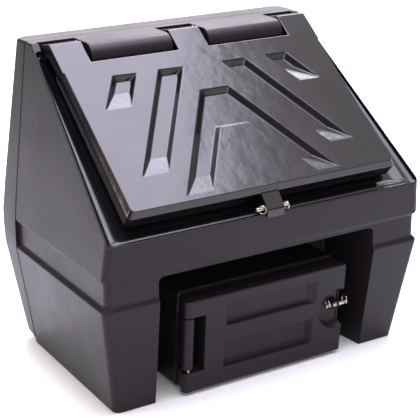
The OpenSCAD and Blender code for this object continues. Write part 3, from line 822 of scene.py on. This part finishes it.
@dataclass(frozen=True)
class Softbox:
    """One rectangular softbox: glow is how bright its cloth looks, where white paper is 1."""

    name: str
    place: Point
    target: Point
    size: tuple[float, float]
    glow: float
    tint: str

    def hang(self) -> None:
        """Put the light in the scene, facing its target."""
        data = bpy.data.lights.new(self.name, "AREA")
        data.shape = "RECTANGLE"
        data.size, data.size_y = self.size
        data.energy = self.glow * pi * self.size[0] * self.size[1]
        data.color = linear(self.tint)[:3]
        item = bpy.data.objects.new(self.name, data)
        toward = Vector(self.target) - Vector(self.place)
        item.location = self.place
        item.rotation_euler = toward.to_track_quat("-Z", "Y").to_euler()
        bpy.context.scene.collection.objects.link(item)


@dataclass
class Studio:
    """White paper, soft overhead light and the photograph's camera."""

    # The camera's place in metres and its turn in degrees, solved from the photograph.
    eye: Point = (-1.7195, -2.9209, 1.6009)
    yaw: float = 30.5
    pitch: float = 19.43
    roll: float = -0.80
    focal_px: float = 1236.4
    picture_px: float = 420.0
    sensor_mm: float = 36.0
    clip_m: float = 100.0
    paper_m: float = 30.0
    paper_smooth_deg: float = 30.0
    # The walls end at the first height and the ceiling starts at the second, as parts of the way
    # from the horizon to straight up.
    wall_top: float = 0.35
    ceiling_edge: float = 0.65
    wall_glow: float = 0.3
    ceiling_glow: float = 1.4
    room_tint: str = "#fffcfd"
    softboxes: tuple[Softbox, ...] = (
        # The two overhead boxes mirror in the lid, the rear box in the flat top and the left box in
        # the lid's left bevel. The front fill only opens up the recess.
        Softbox("overhead softbox", (0.4, 0.45, 3.7), (0.4, 0.45, 0.0), (2.6, 3.9), 9.0, "#eae6ff"),
        Softbox("rear overhead softbox", (2.3, 2.35, 3.7), (2.3, 2.35, 0.0), (2.2, 1.7), 16.0,
                "#f2efff"),
        Softbox("rear softbox", (1.8, 3.9, 2.3), (0.0, 0.3, 0.9), (4.0, 1.6), 3.4, "#fff6ff"),
        Softbox("left softbox", (-3.2, 0.5, 1.55), (0.0, 0.2, 0.7), (1.0, 0.8), 9.0, "#ffeedd"),
        Softbox("front fill", (-1.0, -4.0, 1.2), (0.0, 0.0, 0.3), (2.4, 1.6), 3.8, "#fff4f6"),
    )

    def camera(self) -> None:
        """Place the camera where the photograph was taken from."""
        yaw, pitch, roll = radians(self.yaw), radians(self.pitch), radians(self.roll)
        ahead = Vector((sin(yaw) * cos(pitch), cos(yaw) * cos(pitch), -sin(pitch)))
        flat = Vector((cos(yaw), -sin(yaw), 0.0))
        up = flat.cross(ahead)
        right = flat * cos(roll) + up * sin(roll)
        top = up * cos(roll) - flat * sin(roll)
        data = bpy.data.cameras.new("photo camera")
        data.sensor_width = self.sensor_mm
        data.lens = self.focal_px / self.picture_px * self.sensor_mm
        data.clip_end = self.clip_m
        item = bpy.data.objects.new("photo camera", data)
        turn = Matrix((right, top, -ahead)).transposed()
        item.matrix_world = Matrix.Translation(self.eye) @ turn.to_4x4()
        bpy.context.scene.collection.objects.link(item)
        bpy.context.scene.camera = item

    def paper(self) -> None:
        """Lay the white paper on the ground."""
        work = bmesh.new()
        bmesh.ops.create_grid(work, x_segments=1, y_segments=1, size=self.paper_m / 2)
        item = finish_mesh(work, "studio_paper", self.paper_smooth_deg)
        item.data.materials.append(StudioPaper().make())
        item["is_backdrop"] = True

    def room_light(self) -> None:
        """Light the room: a bright ceiling, and dim walls that keep the black plastic black."""
        world = bpy.data.worlds.new("white studio")
        world.use_nodes = True
        tree = world.node_tree
        backdrop = tree.nodes["Background"]
        backdrop.inputs["Color"].default_value = linear(self.room_tint)
        toward = add_node(tree, "ShaderNodeTexCoord").outputs["Generated"]
        height = add_node(tree, "ShaderNodeSeparateXYZ", {"Vector": toward}).outputs["Z"]
        glow = add_node(tree, "ShaderNodeMapRange", {"Value": height},
                        interpolation_type="SMOOTHSTEP", From_Min_=self.wall_top,
                        From_Max_=self.ceiling_edge, To_Min_=self.wall_glow,
                        To_Max_=self.ceiling_glow)
        # Seen directly, past the edge of the paper, the wall is as white as the paper itself.
        seen = add_node(tree, "ShaderNodeLightPath").outputs["Is Camera Ray"]
        strength = add_node(tree, "ShaderNodeMath", {0: glow.outputs["Result"], 1: seen},
                            operation="MAXIMUM")
        tree.links.new(strength.outputs["Value"], backdrop.inputs["Strength"])
        bpy.context.scene.world = world

    def build(self) -> None:
        """Set up the camera, the paper, the room and the softboxes."""
        self.camera()
        self.paper()
        self.room_light()
        # A catalogue picture has clipped white paper and full contrast, so the plain curve is used.
        bpy.context.scene.view_settings.view_transform = "Standard"
        for softbox in self.softboxes:
            softbox.hang()


def note_bounds(label: str) -> list[list[float]]:
    """Measure the shown object.

    Args:
        label: What the measure is called in the log.

    Returns:
        The lowest and the highest corner as plain lists.
    """
    low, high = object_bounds()
    LOG.info("%s: %s %s", label, tuple(low), tuple(high))
    return [list(low), list(high)]


def main() -> None:
    """Build the bunker around its frame, then the studio round it."""
    logging.basicConfig(level=logging.INFO, format="%(name)s: %(message)s")
    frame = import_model()
    sizes = {"cad": note_bounds("solids")}
    Mouldings().build(frame)
    Hardware().build(frame)
    Studio().build()
    sizes["dressed"] = note_bounds("dressed")


if __name__ == "__main__":
    main()
